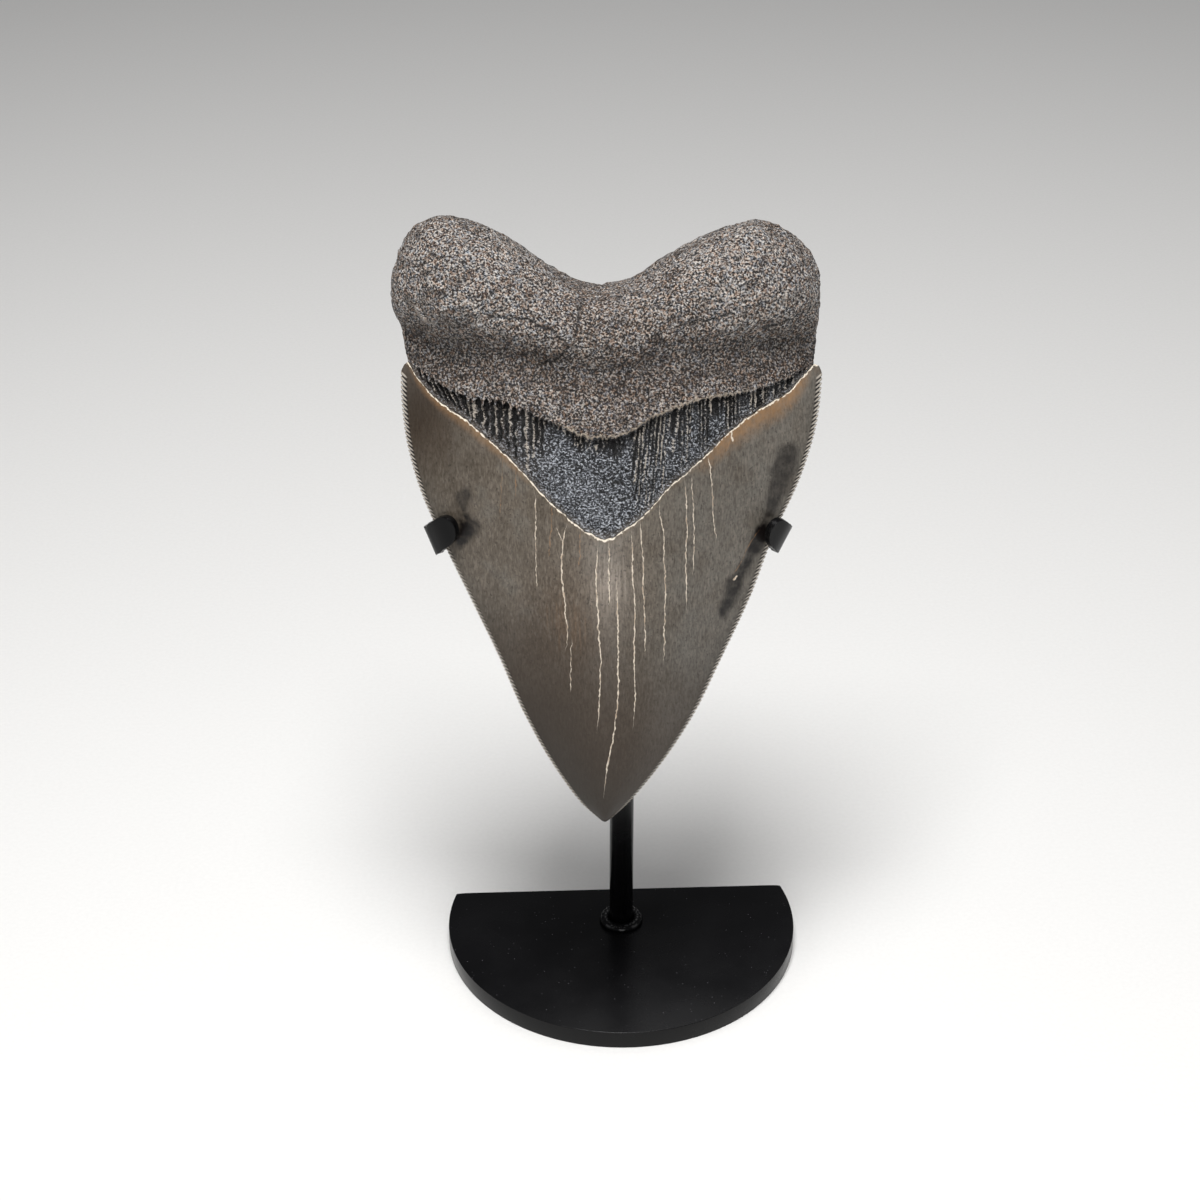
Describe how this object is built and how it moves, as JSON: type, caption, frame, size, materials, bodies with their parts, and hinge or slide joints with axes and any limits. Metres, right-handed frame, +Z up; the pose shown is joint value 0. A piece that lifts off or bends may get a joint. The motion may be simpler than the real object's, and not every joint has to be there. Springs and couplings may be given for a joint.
{
  "type": "fossil shark tooth on display stand",
  "caption": "Large fossil shark tooth, saw-edged crown and two-lobed root, leaning back in a black steel stand: hooked strips on a round post over a D-shaped plate.",
  "frame": {"origin": "on the underside of the base plate, on the axis of the post", "axes": "+Z up; the tooth's display face and the round side of the plate look along -Y, the plate's straight edge is at +Y; +X is the viewer's right"},
  "size_m": [0.0977, 0.0592, 0.1979],
  "materials": {
    "stand_paint": "satin black paint on steel",
    "fossil_tooth": "satin fossil enamel, matt grainy root"
  },
  "bodies": {
    "root": {"base_plate": "stand_paint", "post": "stand_paint", "left_arm": "stand_paint", "right_arm": "stand_paint", "tooth": "fossil_tooth"}
  },
  "joints": []
}
